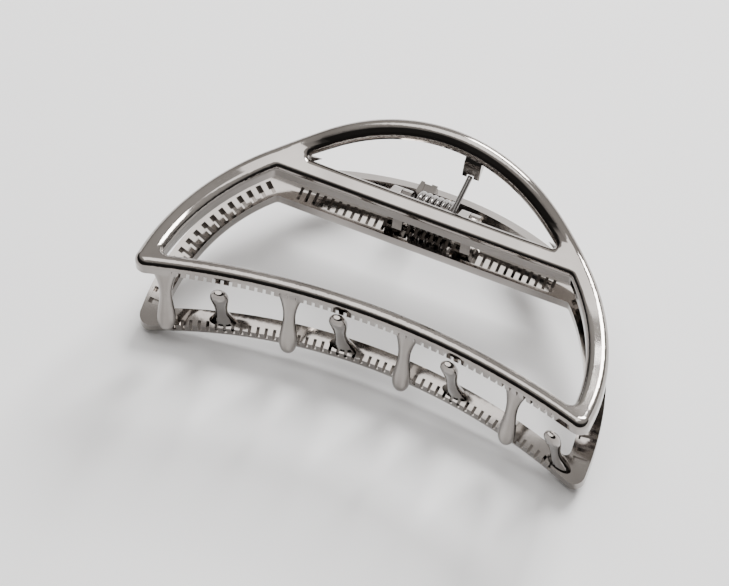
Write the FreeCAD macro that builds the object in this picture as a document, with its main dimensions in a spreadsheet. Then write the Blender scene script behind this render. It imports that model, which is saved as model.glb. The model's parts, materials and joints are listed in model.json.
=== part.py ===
"""Half-moon claw clip for hair: two identical die-cast jaws, a hinge pin and a torsion spring.

Casting frame: the hinge axis is the X axis, +Y points to the finger handle, -Y to the toothed bar,
and +Z is the outer side of the jaw. The second jaw is the same casting turned half a turn about Y.
The finished clip lies on its lower jaw, on the two bar corners and the tip of the handle.
"""
import FreeCAD, Part
import Sketcher
import math
import os

from FreeCAD import Placement, Rotation, Vector

os.makedirs("parts", exist_ok=True)
doc = FreeCAD.newDocument("claw_clip")

X_AXIS = Vector(1, 0, 0)
Y_AXIS = Vector(0, 1, 0)
Z_AXIS = Vector(0, 0, 1)
ORIGIN = Vector(0, 0, 0)

DRIVING_SIZES = [
    # jaw outline, seen square to the jaw
    ("outer_radius", 42.5),        # half-moon arc, outer edge
    ("arc_centre", 31.8),          # arc centre, this far on the tooth side of the hinge
    ("side_straight", 4.1),        # straight sides below the arc
    ("arc_width", 3.9),
    ("crossbar_front", 5.2),       # crossbar's tooth-side edge to the hinge
    ("crossbar_width", 3.9),
    ("tooth_bar_radius", 119.0),   # hollow front edge of the toothed bar
    ("tooth_bar_sag", 7.8),
    ("tooth_bar_width", 2.9),
    ("tip_corner_radius", 1.9),
    ("window_corner_radius", 1.0),
    ("handle_width", 3.35),        # the arc over the handle window
    ("handle_corner_radius", 0.5),
    ("handle_undercut", 1.2),      # the window wall leans back below this depth
    # jaw side view: waisted at the crossbar, flaring to the teeth and to the handle
    ("waist_height", 7.2),         # outer face above the middle plane at the waist
    ("tooth_side_radius", 80.0),
    ("handle_bend_radius", 9.0),
    ("handle_flare", 36.5),        # degrees
    ("wall_height", 3.6),
    ("edge_radius", 1.35),
    # ribbed channel on the inner face
    ("lip_width", 0.65),
    ("channel_depth", 1.7),
    ("rib_pitch", 1.47),
    ("rib_width", 0.9),
    ("arc_rib_pitch", 1.9),
    # teeth
    ("tooth_first", -37.3),
    ("tooth_pitch", 21.7),
    ("tooth_count", 4),
    ("tooth_length", 16.5),
    ("tooth_root_width", 4.0),
    ("tooth_tip_width", 2.1),
    ("tooth_root_depth", 2.3),
    ("tooth_tip_depth", 1.5),
    ("tooth_lean", 10.6),           # degrees, away from the handle
    # hinge
    ("lug_radius", 2.7),
    ("lug_thickness", 1.8),
    ("inner_lug_centre", 5.55),
    ("outer_lug_centre", 7.45),
    ("pin_radius", 1.05),
    ("pin_clearance", 0.04),       # radial, pin to bore
    ("pin_head_radius", 1.8),
    ("pin_head_height", 0.8),
    ("pin_rivet_radius", 1.45),
    ("pin_rivet_height", 0.5),
    ("pin_end_play", 0.08),
    # torsion spring
    ("wire_radius", 0.5),
    ("coil_radius", 3.0),          # to the middle of the wire
    ("coil_turns", 6),             # whole turns, before the part turn between the legs
    ("coil_pitch", 1.1),
    ("coil_relief", 0.5),          # room for the coil under the crossbar
    ("leg_rise", 23.0),            # degrees, leg to the middle plane
    ("leg_length", 8.6),
    ("leg_splay", 5.5),            # degrees, legs lean outwards along the axis
    ("seat_width", 3.2),
    ("seat_depth", 3.0),
    ("seat_drop", 2.4),            # below the handle's inner face at the window's edge
    ("seat_overhang", 1.0),        # from the window's edge towards the hinge
    ("seat_root", 0.9),            # overlap of the seat with the handle wall
    ("seat_groove_width", 1.3),
    ("spring_clearance", 0.04),
]

sheet = doc.addObject("Spreadsheet::Sheet", "sizes")
for row, (alias, value) in enumerate(DRIVING_SIZES, start=1):
    sheet.set("A%d" % row, alias)
    sheet.set("B%d" % row, str(value))
    sheet.setAlias("B%d" % row, alias)
doc.recompute()


def size(alias):
    """The sheet's value for an alias, as a plain number."""
    return float(sheet.get(alias))


# ---- curves of the jaw, worked out from the sheet ----

FLARE = math.radians(size("handle_flare"))
WAIST_Y = size("crossbar_width") / 2 - size("crossbar_front")
ARC_CENTRE_Y = -size("arc_centre")
TIP_Y = ARC_CENTRE_Y - size("side_straight")
HANDLE_Y = ARC_CENTRE_Y + size("outer_radius")
HANDLE_WINDOW_RADIUS = size("outer_radius") - size("arc_width")
HANDLE_WINDOW_CENTRE_Y = ARC_CENTRE_Y + size("arc_width") - size("handle_width")
HANDLE_WINDOW_Y = HANDLE_WINDOW_CENTRE_Y + HANDLE_WINDOW_RADIUS
CROSSBAR_FRONT_Y = -size("crossbar_front")
CROSSBAR_BACK_Y = CROSSBAR_FRONT_Y + size("crossbar_width")
TOOTH_BAR_MID_Y = TIP_Y + size("tooth_bar_sag")
TOOTH_BAR_CENTRE_Y = TOOTH_BAR_MID_Y - size("tooth_bar_radius")
BEND_END_Y = WAIST_Y + size("handle_bend_radius") * math.sin(FLARE)
BEND_END_Z = size("waist_height") + size("handle_bend_radius") * (1 - math.cos(FLARE))


def outer_height(y):
    """Height of the jaw's outer face above the middle plane, at y."""
    if y <= WAIST_Y:
        radius = size("tooth_side_radius")
        return size("waist_height") + radius - math.sqrt(radius ** 2 - (y - WAIST_Y) ** 2)
    if y <= BEND_END_Y:
        radius = size("handle_bend_radius")
        return size("waist_height") + radius - math.sqrt(radius ** 2 - (y - WAIST_Y) ** 2)
    return BEND_END_Z + (y - BEND_END_Y) * math.tan(FLARE)


def face_slope(y):
    """Slope angle of the outer face at y, in radians, rising towards +Y."""
    if y <= WAIST_Y:
        return math.asin((y - WAIST_Y) / size("tooth_side_radius"))
    if y <= BEND_END_Y:
        return math.asin((y - WAIST_Y) / size("handle_bend_radius"))
    return FLARE


def face_normal(y):
    """Unit normal of the outer face at y, pointing away from the other jaw."""
    slope = face_slope(y)
    return Vector(0, -math.sin(slope), math.cos(slope))


def inner_point(x, y):
    """Point of the jaw's inner face under the outer face's point (x, y)."""
    return Vector(x, y, outer_height(y)) - face_normal(y) * size("wall_height")


def tooth_bar_y(x, inset):
    """Y of the toothed bar's plan curve, inset from its hollow front edge."""
    return TOOTH_BAR_CENTRE_Y + math.sqrt((size("tooth_bar_radius") + inset) ** 2 - x * x)


def bind(target, **expressions):
    """Bind properties of an object to the sheet."""
    for prop, expression in expressions.items():
        target.setExpression(prop.replace("__", "."), expression)


def sketch_on(name, placement):
    sketch = doc.addObject("Sketcher::SketchObject", name)
    sketch.Placement = placement
    return sketch


def arc_through(start, middle, end):
    return Part.Arc(start, middle, end)


def extrude(name, sketch, length_expression):
    """Solid of a closed sketch, the same length to both sides of it."""
    solid = doc.addObject("Part::Extrusion", name)
    solid.Base = sketch
    solid.DirMode = "Normal"
    solid.Solid = True
    solid.Symmetric = True
    solid.setExpression("LengthFwd", length_expression)
    return solid


def polar(radius, angle, centre_y):
    return Vector(radius * math.cos(angle), centre_y + radius * math.sin(angle), 0)


# ---- one jaw casting, in the casting frame ----

EXTRUSION_MARGIN = 4.0
SIDE_PLANE = Rotation(Y_AXIS, Z_AXIS, X_AXIS, "ZXY")    # sketch x, y along the frame's Y, Z


def side_point(y, z):
    """A point of a side-view sketch."""
    return Vector(y, z, 0)


def radius_constraint(sketch, geometry, alias, extra=""):
    """Bind an arc's radius to the sheet."""
    value = sketch.Geometry[geometry].Radius
    index = sketch.addConstraint(Sketcher.Constraint("Radius", geometry, value))
    name = "radius_%d" % geometry
    sketch.renameConstraint(index, name)
    sketch.setExpression("Constraints." + name, "sizes.%s%s" % (alias, extra))


def height_between(radius_a, centre_a, radius_b, centre_b):
    """Y where circles centred on the Y axis meet."""
    top = radius_b ** 2 - radius_a ** 2 - centre_b ** 2 + centre_a ** 2
    return top / (2 * (centre_a - centre_b))


def mirrored(point):
    return Vector(-point.x, point.y, point.z)


def corner_arc(centre, radius, start, end):
    """Corner rounding between two tangent points, bulging away from its centre."""
    middle = (start + end) * 0.5 - centre
    return arc_through(start, centre + middle.normalize() * radius, end)


def plan_sketch(name):
    """The half moon seen square on, with its two windows."""
    sketch = sketch_on(name, Placement())
    outer = size("outer_radius")
    inner = outer - size("arc_width")
    front = size("tooth_bar_radius")
    back = front + size("tooth_bar_width")
    arc_centre = Vector(0, ARC_CENTRE_Y, 0)
    bar_centre = Vector(0, TOOTH_BAR_CENTRE_Y, 0)
    tip_round = size("tip_corner_radius")
    window_round = size("window_corner_radius")

    def towards(start, target, length):
        return start + (target - start).normalize() * length

    def line_corner(line_y, centre_y, arc_middle):
        """Centre and tangent points of a corner between a straight edge and an arc."""
        to_corner = inner - abs(centre_y - line_y)
        x = math.sqrt(to_corner ** 2 - (centre_y - arc_middle.y) ** 2)
        centre = Vector(x, centre_y, 0)
        return centre, Vector(x, line_y, 0), towards(arc_middle, centre, inner)

    # outline: arc over the handle, side, tip, hollow tooth-bar front, tip, side
    right = polar(outer, 0, ARC_CENTRE_Y)
    apex = polar(outer, math.pi / 2, ARC_CENTRE_Y)
    tip_x = outer - tip_round
    tip = Vector(tip_x, TOOTH_BAR_CENTRE_Y + math.sqrt((front + tip_round) ** 2 - tip_x ** 2), 0)
    side_end = Vector(outer, tip.y, 0)
    front_end = towards(bar_centre, tip, front)
    outline = [
        arc_through(right, apex, mirrored(right)),
        Part.LineSegment(mirrored(right), mirrored(side_end)),
        corner_arc(mirrored(tip), tip_round, mirrored(side_end), mirrored(front_end)),
        arc_through(mirrored(front_end), bar_centre + Y_AXIS * front, front_end),
        corner_arc(tip, tip_round, front_end, side_end),
        Part.LineSegment(side_end, right),
    ]

    # big window: between the crossbar, the arc and the toothed bar
    top, top_line, top_arc = line_corner(CROSSBAR_FRONT_Y, CROSSBAR_FRONT_Y - window_round, arc_centre)
    low_y = height_between(inner - window_round, ARC_CENTRE_Y, back + window_round, TOOTH_BAR_CENTRE_Y)
    low = Vector(math.sqrt((inner - window_round) ** 2 - (low_y - ARC_CENTRE_Y) ** 2), low_y, 0)
    low_arc = towards(arc_centre, low, inner)
    low_bar = towards(bar_centre, low, back)
    side = towards(arc_centre, (top_arc + low_arc) * 0.5, inner)
    window = [
        corner_arc(top, window_round, top_line, top_arc),
        arc_through(top_arc, side, low_arc),
        corner_arc(low, window_round, low_arc, low_bar),
        arc_through(low_bar, bar_centre + Y_AXIS * back, mirrored(low_bar)),
        corner_arc(mirrored(low), window_round, mirrored(low_bar), mirrored(low_arc)),
        arc_through(mirrored(low_arc), mirrored(side), mirrored(top_arc)),
        corner_arc(mirrored(top), window_round, mirrored(top_arc), mirrored(top_line)),
        Part.LineSegment(mirrored(top_line), top_line),
    ]

    # handle window: between the crossbar and the arc
    handle_round = size("handle_corner_radius")
    handle_centre = Vector(0, HANDLE_WINDOW_CENTRE_Y, 0)
    end, end_line, end_arc = line_corner(CROSSBAR_BACK_Y, CROSSBAR_BACK_Y + handle_round, handle_centre)
    handle_window = [
        corner_arc(end, handle_round, end_line, end_arc),
        arc_through(end_arc, Vector(0, HANDLE_WINDOW_Y, 0), mirrored(end_arc)),
        corner_arc(mirrored(end), handle_round, mirrored(end_arc), mirrored(end_line)),
        Part.LineSegment(mirrored(end_line), end_line),
    ]

    for geometry in outline + window + handle_window:
        sketch.addGeometry(geometry, False)
    first_window = len(outline)
    first_handle = first_window + len(window)
    radius_constraint(sketch, 0, "outer_radius")
    radius_constraint(sketch, 3, "tooth_bar_radius")
    radius_constraint(sketch, first_window + 3, "tooth_bar_radius", " + sizes.tooth_bar_width")
    radius_constraint(sketch, first_window + 1, "outer_radius", " - sizes.arc_width")
    radius_constraint(sketch, first_handle + 1, "outer_radius", " - sizes.arc_width")
    return sketch


def side_sketch(name):
    """The wall seen from the side: tooth arc, waist bend and straight handle flare."""
    sketch = sketch_on(name, Placement(ORIGIN, SIDE_PLANE))
    wall = size("wall_height")
    tooth_centre = side_point(WAIST_Y, size("waist_height") + size("tooth_side_radius"))
    bend_centre = side_point(WAIST_Y, size("waist_height") + size("handle_bend_radius"))
    start_angle = face_slope(TIP_Y - EXTRUSION_MARGIN)

    def on_arc(centre, radius, slope):
        return centre + Vector(math.sin(slope) * radius, -math.cos(slope) * radius, 0)

    def arc_pair(centre, radius, slope_a, slope_b):
        """Outer and inner arcs of the wall between two slopes."""
        pair = []
        for r in (radius, radius + wall):
            slopes = (slope_a, (slope_a + slope_b) / 2, slope_b)
            pair.append(arc_through(*[on_arc(centre, r, slope) for slope in slopes]))
        return pair

    tooth_outer, tooth_inner = arc_pair(tooth_centre, size("tooth_side_radius"), start_angle, 0.0)
    bend_outer, bend_inner = arc_pair(bend_centre, size("handle_bend_radius"), 0.0, FLARE)
    flare_length = (HANDLE_Y + EXTRUSION_MARGIN - BEND_END_Y) / math.cos(FLARE)
    along = side_point(math.cos(FLARE), math.sin(FLARE)) * flare_length
    flare_outer = Part.LineSegment(bend_outer.EndPoint, bend_outer.EndPoint + along)
    flare_inner = Part.LineSegment(bend_inner.EndPoint, bend_inner.EndPoint + along)
    handle_end = Part.LineSegment(flare_outer.EndPoint, flare_inner.EndPoint)
    tooth_end = Part.LineSegment(tooth_inner.StartPoint, tooth_outer.StartPoint)
    band = [tooth_outer, bend_outer, flare_outer, handle_end]
    band += [flare_inner, bend_inner, tooth_inner, tooth_end]
    for geometry in band:
        sketch.addGeometry(geometry, False)
    radius_constraint(sketch, 0, "tooth_side_radius")
    radius_constraint(sketch, 1, "handle_bend_radius")
    radius_constraint(sketch, 5, "handle_bend_radius", " + sizes.wall_height")
    radius_constraint(sketch, 6, "tooth_side_radius", " + sizes.wall_height")
    return sketch


def edge_numbers(shape, wanted):
    """Numbers of the edges that a test picks, counted from 1."""
    return [number for number, edge in enumerate(shape.Edges, start=1) if wanted(edge)]


def edge_points(edge):
    first, last = edge.ParameterRange
    return [edge.valueAt(first + (last - first) * step / 4) for step in range(5)]


def is_on_outer_face(edge):
    """True for a border edge of the outer face, not a seam that crosses it."""
    points = edge_points(edge)
    if any(abs(p.z - outer_height(p.y)) > 1e-3 for p in points):
        return False
    along_x = all(abs(p.y - points[0].y) < 1e-4 for p in points)
    at_seam = min(abs(points[0].y - WAIST_Y), abs(points[0].y - BEND_END_Y)) < 1e-3
    return not (along_x and at_seam)


def fillet(name, base, numbers, radius):
    rounded = doc.addObject("Part::Fillet", name)
    rounded.Base = base
    rounded.Edges = [(number, radius, radius) for number in numbers]
    doc.recompute()
    return rounded


def pocket_box(centre, tangent, normal, length, width):
    """One pocket of the ribbed channel, cut from the inner face towards the outer one."""
    across = normal.cross(tangent).normalize()
    corner = centre - tangent * (length / 2) - across * (width / 2) - normal * 1.0
    box = Part.makeBox(length, width, size("channel_depth") + 1.0)
    box.Placement = Placement(corner, Rotation(tangent, across, normal, "ZXY"))
    return box


def bar_pockets(half_length, pitch, width, y_at):
    """Pockets of a channel along a bar that follows y = y_at(x)."""
    pockets = []
    count = int(2 * half_length / pitch)
    for index in range(count):
        x = (index - (count - 1) / 2) * pitch
        y = y_at(x)
        step = Vector(0.1, y_at(x + 0.05) - y_at(x - 0.05), 0)
        step.z = outer_height(y_at(x + 0.05)) - outer_height(y_at(x - 0.05))
        tangent = step.normalize()
        cross = face_normal(y).cross(tangent)
        normal = tangent.cross(cross).normalize()
        length = pitch - size("rib_width")
        pockets.append(pocket_box(inner_point(x, y), tangent, normal, length, width))
    return pockets


def arc_pockets():
    """Pockets of the channel round the half-moon arc, up to the waist."""
    radius = size("outer_radius") - size("arc_width") / 2
    width = size("arc_width") - 2 * size("lip_width")
    step = size("arc_rib_pitch") / radius
    first = math.radians(2)
    count = int((math.pi - 2 * first) / step)
    pockets = []
    for index in range(count + 1):
        angle = math.pi / 2 + (index - count / 2) * step
        point = polar(radius, angle, ARC_CENTRE_Y)
        if point.y > WAIST_Y:
            continue
        slope = math.tan(face_slope(point.y))
        tangent = Vector(-math.sin(angle), math.cos(angle), slope * math.cos(angle)).normalize()
        cross = face_normal(point.y).cross(tangent)
        normal = tangent.cross(cross).normalize()
        length = size("arc_rib_pitch") - size("rib_width")
        pockets.append(pocket_box(inner_point(point.x, point.y), tangent, normal, length, width))
    return pockets


def rib_pockets(name):
    """Every pocket between the ribs, as one cutting shape."""
    lips = 2 * size("lip_width")
    crossbar_y = (CROSSBAR_FRONT_Y + CROSSBAR_BACK_Y) / 2
    inner = size("outer_radius") - size("arc_width")
    crossbar_half = math.sqrt(inner ** 2 - (crossbar_y - ARC_CENTRE_Y) ** 2) - 0.5
    tooth_bar_half = inner - 1.5
    pockets = arc_pockets()
    pockets += bar_pockets(crossbar_half, size("rib_pitch"), size("crossbar_width") - lips,
                           lambda x: crossbar_y)
    pockets += bar_pockets(tooth_bar_half, size("rib_pitch"), size("tooth_bar_width") - lips,
                           lambda x: tooth_bar_y(x, size("tooth_bar_width") / 2))
    feature = doc.addObject("Part::Feature", name)
    feature.Shape = Part.makeCompound(pockets)
    return feature


UNDERCUT_START_Y = CROSSBAR_BACK_Y + 0.5
UNDERCUT_STEPS = 24


def handle_undercut(name):
    """Cutter that leans the handle window's arc wall back, square to the flared face."""
    half_span = math.sqrt(HANDLE_WINDOW_RADIUS ** 2 - (UNDERCUT_START_Y - HANDLE_WINDOW_CENTRE_Y) ** 2)
    points = []
    for index in range(UNDERCUT_STEPS + 1):
        x = half_span * (2 * index / UNDERCUT_STEPS - 1)
        y = HANDLE_WINDOW_CENTRE_Y + math.sqrt(HANDLE_WINDOW_RADIUS ** 2 - x * x)
        height = outer_height(y) - size("handle_undercut")
        points.append(Vector(x, y + math.tan(FLARE) * height, 0))
    curve = Part.BSplineCurve()
    curve.interpolate(points)
    outline = Part.Wire([curve.toShape(), Part.makeLine(points[-1], points[0])])
    lean = Vector(0, -math.tan(FLARE), 1)
    prism = Part.Face(outline).extrude(lean * outer_height(HANDLE_Y))
    room = Part.makeBox(2 * half_span, HANDLE_Y, outer_height(HANDLE_Y))
    room.translate(Vector(-half_span, UNDERCUT_START_Y, 0))
    feature = doc.addObject("Part::Feature", name)
    feature.Shape = prism.common(room)
    return feature


def tooth_solid(x):
    """A tapered tooth with a flared root and a rounded tip, on the toothed bar's inner face."""
    mid_inset = size("tooth_bar_width") / 2
    y = tooth_bar_y(x, mid_inset)
    radius = size("tooth_bar_radius") + mid_inset
    tangent = Vector(y - TOOTH_BAR_CENTRE_Y, -x, 0) / radius
    outward = Vector(-x, -(y - TOOTH_BAR_CENTRE_Y), 0) / radius
    base = Vector(x, y, outer_height(y) - size("wall_height"))
    lean = math.tan(math.radians(size("tooth_lean")))
    root_width, tip_width = size("tooth_root_width"), size("tooth_tip_width")
    root_depth, tip_depth = size("tooth_root_depth"), size("tooth_tip_depth")
    length = size("tooth_length")

    def section(depth, width, thickness):
        centre = base - Z_AXIS * depth + outward * (lean * max(depth, 0.0))
        ring = Part.Ellipse(ORIGIN, width / 2, thickness / 2).toShape()
        ring.Placement = Placement(centre, Rotation(tangent, outward, -Z_AXIS, "ZXY"))
        return Part.Wire(ring)

    shaft_width = root_width + (tip_width - root_width) * 0.35
    shaft_depth = root_depth + (tip_depth - root_depth) * 0.3
    sections = [
        section(-1.6, root_width * 1.7, root_depth * 1.05),
        section(0.0, root_width * 1.3, root_depth),
        section(2.6, shaft_width, shaft_depth),
        section(length * 0.6, (shaft_width + tip_width) / 2, (shaft_depth + tip_depth) / 2),
        section(length - 0.5, tip_width, tip_depth),
        section(length, tip_width * 0.55, tip_depth * 0.5),
    ]
    return Part.makeLoft(sections, True)


def teeth(name):
    feature = doc.addObject("Part::Feature", name)
    places = [size("tooth_first") + index * size("tooth_pitch") for index in range(int(size("tooth_count")))]
    feature.Shape = Part.makeCompound([tooth_solid(x) for x in places])
    return feature


def lug_sketch(name, centre_x):
    """A hinge lug: a round eye on the axis, hung from the crossbar by two tangent sides."""
    sketch = sketch_on(name, Placement(Vector(centre_x, 0, 0), SIDE_PLANE))
    eye = size("lug_radius")
    root_z = size("waist_height") - size("wall_height") / 2
    front = side_point(CROSSBAR_FRONT_Y + size("lip_width"), root_z)
    back = side_point(CROSSBAR_BACK_Y - size("lip_width"), root_z)

    def touch_angle(point, turn):
        """Angle on the eye where the line from a point touches it."""
        direction = math.atan2(point.y, point.x)
        return direction + turn * math.acos(eye / point.Length)

    def on_eye(angle):
        return Vector(eye * math.cos(angle), eye * math.sin(angle), 0)

    front_angle = touch_angle(front, 1)
    back_angle = touch_angle(back, -1) + 2 * math.pi
    for geometry in (
        Part.LineSegment(front, on_eye(front_angle)),
        arc_through(on_eye(front_angle), on_eye((front_angle + back_angle) / 2), on_eye(back_angle)),
        Part.LineSegment(on_eye(back_angle), back),
        Part.LineSegment(back, front),
    ):
        sketch.addGeometry(geometry, False)
    radius_constraint(sketch, 1, "lug_radius")
    return sketch


def x_cylinder(name, radius, length, start_x=None):
    """A cylinder on the hinge axis, its radius and length bound to the sheet."""
    cylinder = doc.addObject("Part::Cylinder", name)
    bind(cylinder, Radius=radius, Height=length)
    doc.recompute()
    start = -cylinder.Height.Value / 2 if start_x is None else start_x
    cylinder.Placement = Placement(Vector(start, 0, 0), Rotation(Z_AXIS, X_AXIS))
    return cylinder


LEG_ANGLE = math.radians(size("leg_rise"))
LEG_X = size("coil_pitch") * (size("coil_turns") + 1 - 2 * (90 + size("leg_rise")) / 360) / 2
LEG_DIRECTION = Vector(math.tan(math.radians(size("leg_splay"))), math.cos(LEG_ANGLE), math.sin(LEG_ANGLE))
LEG_DIRECTION.normalize()
LEG_NORMAL = Vector(0, -math.sin(LEG_ANGLE), math.cos(LEG_ANGLE))
LEG_START = Vector(LEG_X, 0, 0) + LEG_NORMAL * size("coil_radius")
SEAT_SIDE = LEG_DIRECTION.cross(LEG_NORMAL).normalize()
SEAT_UP = SEAT_SIDE.cross(LEG_DIRECTION).normalize()


def spring_seat(name):
    """The block under the handle's window edge that the spring leg pushes on, with its groove."""
    window_edge = Vector(0, HANDLE_WINDOW_Y, outer_height(HANDLE_WINDOW_Y) - size("wall_height") / math.cos(FLARE))
    front = HANDLE_WINDOW_Y - size("seat_overhang")
    back = front + size("seat_depth")
    low = window_edge.z - size("seat_drop")
    back_low = low + (back - front) * math.tan(LEG_ANGLE)

    def under_face(y):
        return window_edge.z + (y - window_edge.y) * math.tan(FLARE) + size("seat_root")

    corners = [
        side_point(front, low),
        side_point(back, back_low),
        side_point(back, under_face(back)),
        side_point(window_edge.y, under_face(window_edge.y)),
    ]
    to_seat = (window_edge.y - LEG_START.y) / LEG_DIRECTION.y
    seat_x = LEG_START.x + LEG_DIRECTION.x * to_seat
    sketch = sketch_on(name + "_outline", Placement(Vector(seat_x, 0, 0), SIDE_PLANE))
    for start, end in zip(corners, corners[1:] + corners[:1]):
        sketch.addGeometry(Part.LineSegment(start, end), False)
    block = extrude(name + "_block", sketch, "sizes.seat_width * 1 mm")

    groove = doc.addObject("Part::Box", name + "_groove")
    bind(groove, Length="2 * sizes.leg_length", Width="sizes.seat_groove_width",
         Height="2 * sizes.coil_radius")
    doc.recompute()
    corner = LEG_START + SEAT_SIDE * (size("seat_groove_width") / 2)
    corner += SEAT_UP * (size("wire_radius") + size("spring_clearance") - groove.Height.Value)
    groove.Placement = Placement(corner, Rotation(LEG_DIRECTION, -SEAT_SIDE, SEAT_UP, "ZXY"))
    seat = doc.addObject("Part::Cut", name)
    seat.Base = block
    seat.Tool = groove
    return seat


def jaw_casting(label):
    """The whole casting: ribbed half-moon wall, teeth, lugs with their bore, and the spring seat."""
    def named(text):
        return label + "_" + text

    plan = extrude(named("plan_prism"), plan_sketch(named("plan")), "4 * sizes.outer_radius * 1 mm")
    wall = extrude(named("wall_band"), side_sketch(named("side")), "2.2 * sizes.outer_radius * 1 mm")
    blank = doc.addObject("Part::MultiCommon", named("blank"))
    blank.Shapes = [plan, wall]
    doc.recompute()
    borders = edge_numbers(blank.Shape, is_on_outer_face)
    rounded = fillet(named("rounded"), blank, borders, size("edge_radius"))

    leaned = doc.addObject("Part::Cut", named("leaned"))
    leaned.Base = rounded
    leaned.Tool = handle_undercut(named("undercut"))
    ribbed = doc.addObject("Part::Cut", named("ribbed"))
    ribbed.Base = leaned
    ribbed.Tool = rib_pockets(named("rib_pockets"))
    relieved = doc.addObject("Part::Cut", named("relieved"))
    relieved.Base = ribbed
    relieved.Tool = x_cylinder(named("coil_relief"),
                               "sizes.coil_radius + sizes.wire_radius + sizes.coil_relief",
                               "2 * sizes.inner_lug_centre - sizes.lug_thickness")

    pieces = [relieved, teeth(named("teeth")), spring_seat(named("seat"))]
    for where, centre_x in (("outer", -size("outer_lug_centre")), ("inner", size("inner_lug_centre"))):
        sketch = lug_sketch(named(where + "_lug_outline"), centre_x)
        pieces.append(extrude(named(where + "_lug"), sketch, "sizes.lug_thickness * 1 mm"))
    joined = doc.addObject("Part::MultiFuse", named("joined"))
    joined.Shapes = pieces
    casting = doc.addObject("Part::Cut", label)
    casting.Base = joined
    casting.Tool = x_cylinder(named("bore"), "sizes.pin_radius + sizes.pin_clearance",
                              "4 * sizes.outer_lug_centre")
    return casting


# ---- hinge pin and spring ----

LUG_FACE_X = size("outer_lug_centre") + size("lug_thickness") / 2


def hinge_pin(label):
    """A domed rivet: head against the lower jaw's outer lug, set end past the upper jaw's."""
    body = doc.addObject("PartDesign::Body", label)
    sketch = body.newObject("Sketcher::SketchObject", label + "_profile")
    plane = [f for f in body.Origin.OriginFeatures if f.Role == "XY_Plane"][0]
    sketch.AttachmentSupport = (plane, "")
    sketch.MapMode = "FlatFace"
    shank, head, rivet = size("pin_radius"), size("pin_head_radius"), size("pin_rivet_radius")
    head_x = LUG_FACE_X
    head_end = head_x + size("pin_head_height")
    rivet_x = -LUG_FACE_X - size("pin_end_play")
    rivet_end = rivet_x - size("pin_rivet_height")

    def dome(face_x, end_x, rim):
        """Arc from a head's rim to its crown on the axis."""
        height = abs(end_x - face_x)
        ball = (rim ** 2 + height ** 2) / (2 * height)
        outwards = math.copysign(1, end_x - face_x)
        half_angle = math.asin(rim / ball) / 2
        middle = Vector(end_x - outwards * ball * (1 - math.cos(half_angle)), ball * math.sin(half_angle), 0)
        return arc_through(Vector(face_x, rim, 0), middle, Vector(end_x, 0, 0))

    corners = [
        Vector(rivet_end, 0, 0),
        Vector(head_end, 0, 0),
        Vector(head_x, head, 0),
        Vector(head_x, shank, 0),
        Vector(rivet_x, shank, 0),
        Vector(rivet_x, rivet, 0),
    ]
    sketch.addGeometry(Part.LineSegment(corners[0], corners[1]), False)
    sketch.addGeometry(dome(head_x, head_end, head), False)
    for start, end in zip(corners[2:5], corners[3:6]):
        sketch.addGeometry(Part.LineSegment(start, end), False)
    sketch.addGeometry(dome(rivet_x, rivet_end, rivet), False)
    index = sketch.addConstraint(Sketcher.Constraint("DistanceY", -1, 1, 3, 1, shank))
    sketch.renameConstraint(index, "shank_radius")
    sketch.setExpression("Constraints.shank_radius", "sizes.pin_radius")
    turned = body.newObject("PartDesign::Revolution", label + "_turned")
    turned.Profile = sketch
    turned.ReferenceAxis = (sketch, ["H_Axis"])
    turned.Angle = 360.0
    doc.recompute()
    return body


def torsion_spring(label):
    """A close-wound coil round the pin, with one leg under each jaw's handle."""
    mean = size("coil_radius")
    start = Vector(-LEG_X, LEG_START.y, -LEG_START.z)
    radial = Vector(0, start.y, start.z).normalize()
    helix = doc.addObject("Part::Helix", label + "_path")
    bind(helix, Radius="sizes.coil_radius", Pitch="sizes.coil_pitch")
    helix.Height = 2 * LEG_X
    helix.LocalCoord = 1
    helix.Placement = Placement(Vector(-LEG_X, 0, 0), Rotation(radial, X_AXIS.cross(radial), X_AXIS, "ZXY"))
    doc.recompute()
    section = doc.addObject("Part::Circle", label + "_wire")
    bind(section, Radius="sizes.wire_radius")
    lead = math.atan(size("coil_pitch") / (2 * math.pi * mean))
    heading = X_AXIS * math.sin(lead) - X_AXIS.cross(radial) * math.cos(lead)
    section.Placement = Placement(start, Rotation(Z_AXIS, heading))
    coil = doc.addObject("Part::Sweep", label + "_coil")
    coil.Sections = [section]
    coil.Spine = (helix, ["Edge1"])
    coil.Solid = True
    coil.Frenet = True
    pieces = [coil]
    for side, name in ((1, "upper"), (-1, "lower")):
        root = Vector(side * LEG_X, LEG_START.y, side * LEG_START.z)
        direction = Vector(side * LEG_DIRECTION.x, LEG_DIRECTION.y, side * LEG_DIRECTION.z)
        leg = doc.addObject("Part::Cylinder", "%s_%s_leg" % (label, name))
        bind(leg, Radius="sizes.wire_radius", Height="sizes.leg_length")
        leg.Placement = Placement(root, Rotation(Z_AXIS, direction))
        bend = doc.addObject("Part::Sphere", "%s_%s_bend" % (label, name))
        bind(bend, Radius="1.06 * sizes.wire_radius")
        bend.Placement = Placement(root, Rotation())
        pieces += [leg, bend]
    spring = doc.addObject("Part::MultiFuse", label)
    spring.Shapes = pieces
    doc.recompute()
    return spring


# ---- assembly: closed, lying on the lower jaw ----

def support_centre(y, height_drop):
    """Centre of the rounded edge that touches the table, near y."""
    return Vector(0, y, outer_height(y) - height_drop)


round_edge = size("edge_radius")
tip_support = support_centre(TOOTH_BAR_MID_Y - size("tooth_bar_sag") + round_edge, round_edge)
handle_support = support_centre(HANDLE_Y - round_edge, round_edge / math.cos(FLARE))
rest_tilt = math.atan2(handle_support.z - tip_support.z, handle_support.y - tip_support.y)
lying = Rotation(X_AXIS, math.degrees(rest_tilt))
turned_over = Rotation(Y_AXIS, 180)

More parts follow.
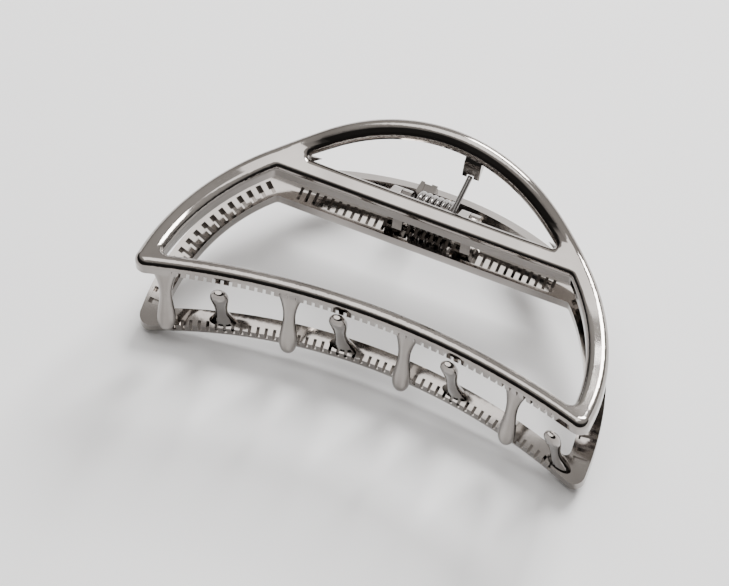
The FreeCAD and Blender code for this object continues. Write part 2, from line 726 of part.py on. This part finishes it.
upper_jaw = jaw_casting("upper_jaw")
lower_jaw = jaw_casting("lower_jaw")
pin = hinge_pin("hinge_pin")
spring = torsion_spring("torsion_spring")
doc.recompute()

sub_parts = [(upper_jaw, Rotation()), (lower_jaw, turned_over), (pin, Rotation()), (spring, Rotation())]
for part, turn in sub_parts:
    part.Placement = Placement(ORIGIN, lying.multiply(turn))
table_height = lower_jaw.Shape.optimalBoundingBox().ZMin
everything = Part.makeCompound([part.Shape for part, turn in sub_parts]).optimalBoundingBox()
shift = Vector(0, -(everything.YMin + everything.YMax) / 2, -table_height)
for part, turn in sub_parts:
    part.Placement = Placement(shift, part.Placement.Rotation)
doc.recompute()

for item in doc.Objects:
    if "Invalid" in item.State or "Error" in item.State:
        raise RuntimeError("%s did not recompute: %s" % (item.Label, item.State))
for part, turn in sub_parts:
    shape = part.Shape
    if shape.isNull() or not shape.isValid() or len(shape.Solids) != 1:
        raise RuntimeError("%s is not one valid solid" % part.Label)
    box = shape.optimalBoundingBox()
    print("%-16s volume %8.1f mm3  x %6.2f..%6.2f  y %6.2f..%6.2f  z %6.2f..%6.2f" % (
        part.Label, shape.Volume, box.XMin, box.XMax, box.YMin, box.YMax, box.ZMin, box.ZMax))
    shape.exportStep("parts/%s.step" % part.Label)
print("hinge axis at y %.4f, z %.4f, rest tilt %.3f degrees" % (shift.y, shift.z, math.degrees(rest_tilt)))
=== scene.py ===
"""Looks of the half-moon claw clip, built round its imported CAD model. Metres, in the frame's own axes."""

import json
import math

import bpy
from mathutils import Matrix, Vector


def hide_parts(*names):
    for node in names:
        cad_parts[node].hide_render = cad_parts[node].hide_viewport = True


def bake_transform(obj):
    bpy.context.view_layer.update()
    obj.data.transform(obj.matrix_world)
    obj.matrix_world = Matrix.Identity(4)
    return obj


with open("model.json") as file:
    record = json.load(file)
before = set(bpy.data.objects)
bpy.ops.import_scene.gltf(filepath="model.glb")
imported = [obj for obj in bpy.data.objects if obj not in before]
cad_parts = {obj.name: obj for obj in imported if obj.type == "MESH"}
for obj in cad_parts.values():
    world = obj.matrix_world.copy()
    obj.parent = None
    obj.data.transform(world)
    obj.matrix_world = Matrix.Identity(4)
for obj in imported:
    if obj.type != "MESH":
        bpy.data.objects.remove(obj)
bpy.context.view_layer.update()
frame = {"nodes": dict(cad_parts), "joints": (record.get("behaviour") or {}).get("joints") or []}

MM = 0.001
joint = frame["joints"][0]
HINGE = Vector(joint["pos_m"])

# ---- camera: the photograph's viewing angle ----

REST_TILT = math.radians(0.549)
CAMERA_AZIMUTH = math.radians(22.7)
CAMERA_ELEVATION = math.radians(62.5)
CAMERA_DISTANCE = 900 * MM
LENS = 251.0
AIM_RIGHT = 10.2 * MM
AIM_UP = 9.6 * MM
CROSSBAR_FRONT = 5.2 * MM
SENSOR_WIDTH = 36.0
CLIP_NEAR = 0.05
CLIP_FAR = 20.0


def add_camera():
    """A long lens, level with the clip's own hinge axis."""
    tilt = Matrix.Rotation(REST_TILT, 3, "X")
    flat = math.cos(CAMERA_ELEVATION)
    rise = math.sin(CAMERA_ELEVATION)
    back = Vector((math.sin(CAMERA_AZIMUTH) * flat, -math.cos(CAMERA_AZIMUTH) * flat, rise))
    right = Vector((math.cos(CAMERA_AZIMUTH), math.sin(CAMERA_AZIMUTH), 0))
    back, right = tilt @ back, tilt @ right
    up = back.cross(right)
    aim = HINGE + tilt @ Vector((0, -CROSSBAR_FRONT, 0)) - right * AIM_RIGHT - up * AIM_UP
    data = bpy.data.cameras.new("photo_camera")
    data.lens = LENS
    data.sensor_width = SENSOR_WIDTH
    data.clip_start = CLIP_NEAR
    data.clip_end = CLIP_FAR
    camera = bpy.data.objects.new("photo_camera", data)
    turn = Matrix((right, up, back)).transposed().to_4x4()
    camera.matrix_world = Matrix.Translation(aim + back * CAMERA_DISTANCE) @ turn
    bpy.context.collection.objects.link(camera)
    bpy.context.scene.camera = camera


# ---- materials ----

class Nodes:
    """Short hand for building one material's node tree."""

    def __init__(self, name):
        self.material = bpy.data.materials.new(name)
        self.material.use_nodes = True
        self.tree = self.material.node_tree
        self.shader = self.tree.nodes["Principled BSDF"]
        self.position = self.add("ShaderNodeTexCoord").outputs["Object"]

    def add(self, kind, **settings):
        node = self.tree.nodes.new(kind)
        for key, value in settings.items():
            setattr(node, key, value)
        return node

    def link(self, source, target):
        self.tree.links.new(source, target)

    def stretched(self, scale):
        """Object position, scaled per axis."""
        mapping = self.add("ShaderNodeMapping")
        mapping.inputs["Scale"].default_value = scale
        self.link(self.position, mapping.inputs["Vector"])
        return mapping.outputs["Vector"]

    def noise(self, scale, detail, vector=None):
        node = self.add("ShaderNodeTexNoise")
        node.inputs["Scale"].default_value = scale
        node.inputs["Detail"].default_value = detail
        node.inputs["Roughness"].default_value = 0.5
        self.link(vector or self.position, node.inputs["Vector"])
        return node.outputs["Fac"]

    def ramp(self, value, stops):
        node = self.add("ShaderNodeValToRGB")
        elements = node.color_ramp.elements
        while len(elements) < len(stops):
            elements.new(0.5)
        for element, (position, colour) in zip(elements, stops):
            element.position = position
            element.color = (*colour, 1)
        self.link(value, node.inputs["Fac"])
        return node.outputs["Color"]

    def spread(self, value, low, high, from_low=0.3, from_high=0.7):
        node = self.add("ShaderNodeMapRange")
        limits = (("From Min", from_low), ("From Max", from_high), ("To Min", low), ("To Max", high))
        for key, number in limits:
            node.inputs[key].default_value = number
        self.link(value, node.inputs["Value"])
        return node.outputs["Result"]

    def mix(self, factor, source, colour):
        """A fixed colour laid over a linked one."""
        node = self.add("ShaderNodeMix", data_type="RGBA", blend_type="MIX")
        self.link(factor, node.inputs["Factor"])
        self.link(source, node.inputs[6])
        node.inputs[7].default_value = (*colour, 1)
        return node.outputs[2]

    def bump(self, height, strength, distance, below=None):
        node = self.add("ShaderNodeBump")
        node.inputs["Strength"].default_value = strength
        node.inputs["Distance"].default_value = distance
        self.link(height, node.inputs["Height"])
        if below is not None:
            self.link(below, node.inputs["Normal"])
        return node.outputs["Normal"]


def plating(name, base, tint, shine_low, shine_high):
    """Bright black-nickel plating: a dark mirror with a faint cast skin, haze and fine rubbing marks."""
    n = Nodes(name)
    n.shader.inputs["Metallic"].default_value = 1.0
    cloud = n.noise(90, 3)
    fine = n.noise(900, 4)
    colour = n.ramp(cloud, [(0.3, base), (0.7, tint)])
    specks = n.add("ShaderNodeTexVoronoi")
    specks.inputs["Scale"].default_value = 1500
    n.link(n.position, specks.inputs["Vector"])
    speck = n.spread(specks.outputs["Distance"], 1.0, 0.0, 0.04, 0.12)
    patch = n.spread(n.noise(260, 2), 0.0, 1.0, 0.58, 0.66)
    both = n.add("ShaderNodeMath", operation="MULTIPLY")
    n.link(speck, both.inputs[0])
    n.link(patch, both.inputs[1])
    colour = n.mix(both.outputs[0], colour, (0.05, 0.047, 0.045))
    n.link(colour, n.shader.inputs["Base Color"])
    scratch = n.noise(700, 3, n.stretched((1.0, 9.0, 3.0)))
    haze = n.spread(cloud, shine_low, shine_high)
    rub = n.spread(scratch, 0.0, 0.05, 0.55, 0.75)
    total = n.add("ShaderNodeMath", operation="ADD")
    n.link(haze, total.inputs[0])
    n.link(rub, total.inputs[1])
    n.link(total.outputs[0], n.shader.inputs["Roughness"])
    skin = n.bump(n.noise(420, 2), 0.12, 0.05 * MM)
    grain = n.bump(fine, 0.05, 0.02 * MM, skin)
    pits = n.bump(both.outputs[0], 0.25, -0.02 * MM, grain)
    n.link(pits, n.shader.inputs["Normal"])
    return n.material


def spring_wire(name):
    """Dark drawn wire: fine lines along its length come from a stretched noise on the tube's own map."""
    n = Nodes(name)
    n.shader.inputs["Metallic"].default_value = 1.0
    uv = n.add("ShaderNodeUVMap")
    uv.uv_map = "wire"
    lines = n.add("ShaderNodeTexNoise")
    lines.inputs["Scale"].default_value = 14
    lines.inputs["Detail"].default_value = 3
    mapping = n.add("ShaderNodeMapping")
    mapping.inputs["Scale"].default_value = (0.25, 3.0, 1.0)
    n.link(uv.outputs["UV"], mapping.inputs["Vector"])
    n.link(mapping.outputs["Vector"], lines.inputs["Vector"])
    n.link(n.ramp(lines.outputs["Fac"], [(0.3, (0.16, 0.15, 0.145)), (0.7, (0.34, 0.325, 0.315))]),
           n.shader.inputs["Base Color"])
    n.link(n.spread(lines.outputs["Fac"], 0.14, 0.3), n.shader.inputs["Roughness"])
    n.link(n.bump(lines.outputs["Fac"], 0.2, 0.01 * MM), n.shader.inputs["Normal"])
    return n.material


def paper(name):
    """Pale matt table paper with a trace of tone and tooth."""
    n = Nodes(name)
    tone = n.noise(9, 3)
    colour = n.ramp(tone, [(0.3, (0.905, 0.9, 0.9)), (0.7, (0.93, 0.925, 0.925))])
    n.link(colour, n.shader.inputs["Base Color"])
    n.shader.inputs["Roughness"].default_value = 0.75
    n.link(n.bump(n.noise(1600, 3), 0.06, 0.03 * MM), n.shader.inputs["Normal"])
    return n.material


# ---- torsion spring: one wire, coil and two legs ----

WIRE_RADIUS = 0.5 * MM
COIL_RADIUS = 3.0 * MM
COIL_PITCH = 1.1 * MM
COIL_TURNS = 6
LEG_RISE = math.radians(23.0)
LEG_SPLAY = math.radians(5.5)
LEG_LENGTH = 8.6 * MM
WIRE_SIDES = 20
STEPS_PER_TURN = 48
LEG_STEPS = 12
BEND_ROUNDS = 3
END_CHAMFER = 0.12 * MM
END_SHARE = 0.72               # radius of the wire's cut ends, as a share of its own
MAP_STEP = 0.05                # length of the wire's map from one ring to the next


def spring_path():
    """Centre line of the wire in the hinge's own frame, lower leg to upper leg."""
    sweep = 2 * math.pi * (COIL_TURNS + 1) - 2 * (math.pi / 2 + LEG_RISE)
    half = COIL_PITCH * sweep / (2 * math.pi) / 2
    leg = Vector((math.tan(LEG_SPLAY), math.cos(LEG_RISE), math.sin(LEG_RISE))).normalized()
    start = Vector((-half, -math.sin(LEG_RISE) * COIL_RADIUS, -math.cos(LEG_RISE) * COIL_RADIUS))
    end = Vector((half, start.y, -start.z))
    lower = Vector((-leg.x, leg.y, -leg.z))
    points = [start + lower * LEG_LENGTH * (1 - i / LEG_STEPS) for i in range(LEG_STEPS)]
    steps = int(STEPS_PER_TURN * sweep / (2 * math.pi))
    angle = math.atan2(start.z, start.y)
    for i in range(steps + 1):
        turn = angle - sweep * i / steps
        x = -half + 2 * half * i / steps
        points.append(Vector((x, math.cos(turn) * COIL_RADIUS, math.sin(turn) * COIL_RADIUS)))
    points += [end + leg * LEG_LENGTH * (i / LEG_STEPS) for i in range(1, LEG_STEPS + 1)]
    return points, half


def smooth_path(points, rounds):
    """The same line with its two bends eased."""
    for _ in range(rounds):
        inner = [(a + b * 2 + c) / 4 for a, b, c in zip(points, points[1:], points[2:])]
        points = [points[0]] + inner + [points[-1]]
    return points


def wire_stations(path):
    """Point, direction and share of the radius at every ring, with a chamfer at both cut ends."""
    tangents = [(b - a).normalized() for a, b in zip(path, path[1:])]
    between = [(a + b).normalized() for a, b in zip(tangents, tangents[1:])]
    tangents = [tangents[0]] + between + [tangents[-1]]
    first, last = tangents[0], tangents[-1]
    stations = [(path[0], first, END_SHARE), (path[0] + first * END_CHAMFER, first, 1.0)]
    stations += [(point, tangent, 1.0) for point, tangent in zip(path[1:-1], tangents[1:-1])]
    stations += [(path[-1] - last * END_CHAMFER, last, 1.0), (path[-1], last, END_SHARE)]
    return stations


def wire_rings(path):
    """Rings of points round the wire, carried along it without twist."""
    stations = wire_stations(path)
    side = stations[0][1].orthogonal().normalized()
    rings = []
    for point, tangent, share in stations:
        side = (side - tangent * side.dot(tangent)).normalized()
        over = tangent.cross(side)
        ring = []
        for k in range(WIRE_SIDES):
            a = 2 * math.pi * k / WIRE_SIDES
            ring.append(point + (side * math.cos(a) + over * math.sin(a)) * (WIRE_RADIUS * share))
        rings.append(ring)
    return rings


def wire_faces(count):
    """Quads between the rings, and a cap on each end."""
    faces = []
    for i in range(count - 1):
        low, high = i * WIRE_SIDES, (i + 1) * WIRE_SIDES
        for k in range(WIRE_SIDES):
            k2 = (k + 1) % WIRE_SIDES
            faces.append((low + k, low + k2, high + k2, high + k))
    faces.append(tuple(range(WIRE_SIDES))[::-1])
    last = (count - 1) * WIRE_SIDES
    faces.append(tuple(last + k for k in range(WIRE_SIDES)))
    return faces


def map_wire(mesh):
    """Map the wire: along it in one direction, round it in the other."""
    uv = mesh.uv_layers.new(name="wire")
    for polygon in mesh.polygons:
        wrap = polygon.index % WIRE_SIDES == WIRE_SIDES - 1
        for loop in polygon.loop_indices:
            vertex = mesh.loops[loop].vertex_index
            across = (vertex % WIRE_SIDES) / WIRE_SIDES
            if wrap and across == 0:
                across = 1.0
            uv.data[loop].uv = (vertex // WIRE_SIDES * MAP_STEP, across)


def add_spring(material):
    """The wire as one tube, coiled round the hinge between the two jaws."""
    path, half = spring_path()
    tilt = Matrix.Rotation(REST_TILT, 3, "X")
    rings = wire_rings([HINGE + tilt @ point for point in smooth_path(path, BEND_ROUNDS)])
    mesh = bpy.data.meshes.new("spring_wire")
    mesh.from_pydata([vertex for ring in rings for vertex in ring], [], wire_faces(len(rings)))
    map_wire(mesh)
    mesh.polygons.foreach_set("use_smooth", [True] * len(mesh.polygons))
    mesh.validate()
    spring = bpy.data.objects.new("wire_spring", mesh)
    bpy.context.collection.objects.link(spring)
    spring.data.materials.append(material)
    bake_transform(spring)
    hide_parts("torsion_spring")


# ---- stage and light ----

FLOOR_REACH = 3.0
FLOOR_DROP = 0.02 * MM
WORLD_LEAN = 0.55
WORLD_STOPS = [(0.0, 0.03), (0.28, 0.035), (0.42, 0.10), (0.60, 0.62), (0.85, 0.80), (1.0, 0.85)]

def add_floor(material):
    mesh = bpy.data.meshes.new("table_top")
    reach = FLOOR_REACH
    corners = [(-reach, -reach, 0), (reach, -reach, 0), (reach, reach, 0), (-reach, reach, 0)]
    mesh.from_pydata(corners, [], [(0, 1, 2, 3)])
    floor = bpy.data.objects.new("table_top", mesh)
    floor.location.z = -FLOOR_DROP
    bpy.context.collection.objects.link(floor)
    mesh.materials.append(material)


def add_light(name, direction, distance, width, height, power):
    data = bpy.data.lights.new(name, "AREA")
    data.shape = "RECTANGLE"
    data.size = width
    data.size_y = height
    data.energy = power
    light = bpy.data.objects.new(name, data)
    towards = Vector(direction).normalized()
    light.location = towards * distance
    light.rotation_mode = "QUATERNION"
    light.rotation_quaternion = towards.to_track_quat("Z", "Y")
    bpy.context.collection.objects.link(light)


def set_world():
    """A plain studio: dark low down on the viewer's side, paler overhead and behind."""
    world = bpy.data.worlds.new("studio")
    bpy.context.scene.world = world
    world.use_nodes = True
    tree = world.node_tree
    background = tree.nodes["Background"]
    coordinates = tree.nodes.new("ShaderNodeTexCoord")
    split = tree.nodes.new("ShaderNodeSeparateXYZ")
    tree.links.new(coordinates.outputs["Generated"], split.inputs["Vector"])
    lean = tree.nodes.new("ShaderNodeMath")
    lean.operation = "MULTIPLY_ADD"
    lean.inputs[1].default_value = WORLD_LEAN
    tree.links.new(split.outputs["Y"], lean.inputs[0])
    tree.links.new(split.outputs["Z"], lean.inputs[2])
    ramp = tree.nodes.new("ShaderNodeValToRGB")
    elements = ramp.color_ramp.elements
    while len(elements) < len(WORLD_STOPS):
        elements.new(0.5)
    for element, (position, value) in zip(elements, WORLD_STOPS):
        element.position = position
        element.color = (value, value * 0.975, value * 0.95, 1)
    tree.links.new(lean.outputs[0], ramp.inputs["Fac"])
    tree.links.new(ramp.outputs["Color"], background.inputs["Color"])
    background.inputs["Strength"].default_value = 1.0


add_camera()
jaw_metal = plating("jaw_plating", (0.25, 0.23, 0.215), (0.32, 0.298, 0.278), 0.05, 0.12)
pin_metal = plating("pin_plating", (0.40, 0.38, 0.365), (0.47, 0.45, 0.43), 0.08, 0.16)
for name, node in frame["nodes"].items():
    metal = pin_metal if name == "hinge_pin" else jaw_metal
    node.data.materials.clear()
    node.data.materials.append(metal)
add_spring(spring_wire("spring_wire"))
add_floor(paper("table_paper"))
set_world()
add_light("key", (0.15, 0.78, 0.60), 0.9, 0.40, 0.32, 15.5)
add_light("top_fill", (-0.15, 0.2, 1.0), 1.2, 0.9, 0.9, 8.4)
